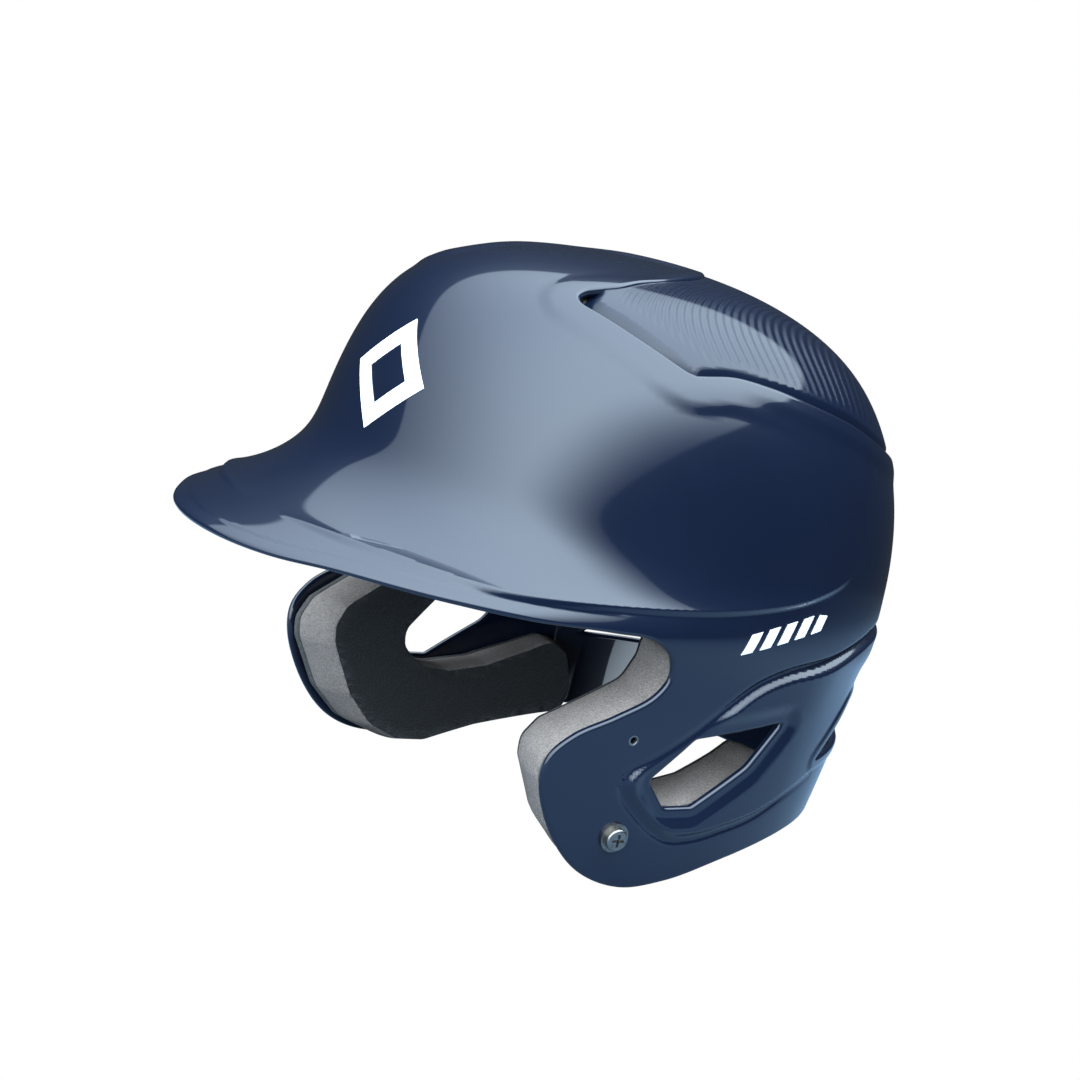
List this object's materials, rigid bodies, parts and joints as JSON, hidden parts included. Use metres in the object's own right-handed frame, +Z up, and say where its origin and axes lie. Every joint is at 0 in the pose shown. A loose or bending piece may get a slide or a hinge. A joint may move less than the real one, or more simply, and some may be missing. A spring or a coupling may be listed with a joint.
{
  "type": "batting helmet",
  "caption": "Adult batting helmet with a brim, an ear flap on each side, a ridged crown panel with vents, foam padding and threaded face-guard points.",
  "frame": {"origin": "on the mid-plane, centre of the overall length, level with the bottom of the ear flaps", "axes": "+X towards the wearer's left, -Y towards the front of the brim, +Z up through the crown"},
  "size_m": [0.2126, 0.2798, 0.2171],
  "materials": {
    "shell_plastic": "glossy moulded plastic, navy",
    "panel_plastic": "satin moulded plastic with fine ridges, navy",
    "mark_print": "white print",
    "base_foam": "firm dark grey foam",
    "pad_foam": "open-cell light grey foam",
    "pad_fabric": "black brushed knit fabric",
    "hardware_steel": "nickel-plated steel"
  },
  "bodies": {
    "root": {"crown_panel": "panel_plastic", "front_mark": "mark_print", "front_pad_cover": "pad_fabric", "front_pad_foam": "pad_foam", "left_crown_pad_cover": "pad_fabric", "left_crown_pad_foam": "pad_foam", "left_ear_pad_base": "base_foam", "left_ear_pad_cover": "pad_fabric", "left_ear_pad_foam": "pad_foam", "left_guard_screw": "hardware_steel", "left_guard_washer": "hardware_steel", "left_lower_t_nut": "hardware_steel", "left_side_mark": "mark_print", "left_side_pad_cover": "pad_fabric", "left_side_pad_foam": "pad_foam", "left_upper_t_nut": "hardware_steel", "outer_shell": "shell_plastic", "rear_pad_cover": "pad_fabric", "rear_pad_foam": "pad_foam", "right_crown_pad_cover": "pad_fabric", "right_crown_pad_foam": "pad_foam", "right_ear_pad_base": "base_foam", "right_ear_pad_cover": "pad_fabric", "right_ear_pad_foam": "pad_foam", "right_guard_screw": "hardware_steel", "right_guard_washer": "hardware_steel", "right_lower_t_nut": "hardware_steel", "right_side_mark": "mark_print", "right_side_pad_cover": "pad_fabric", "right_side_pad_foam": "pad_foam", "right_upper_t_nut": "hardware_steel"}
  },
  "joints": []
}
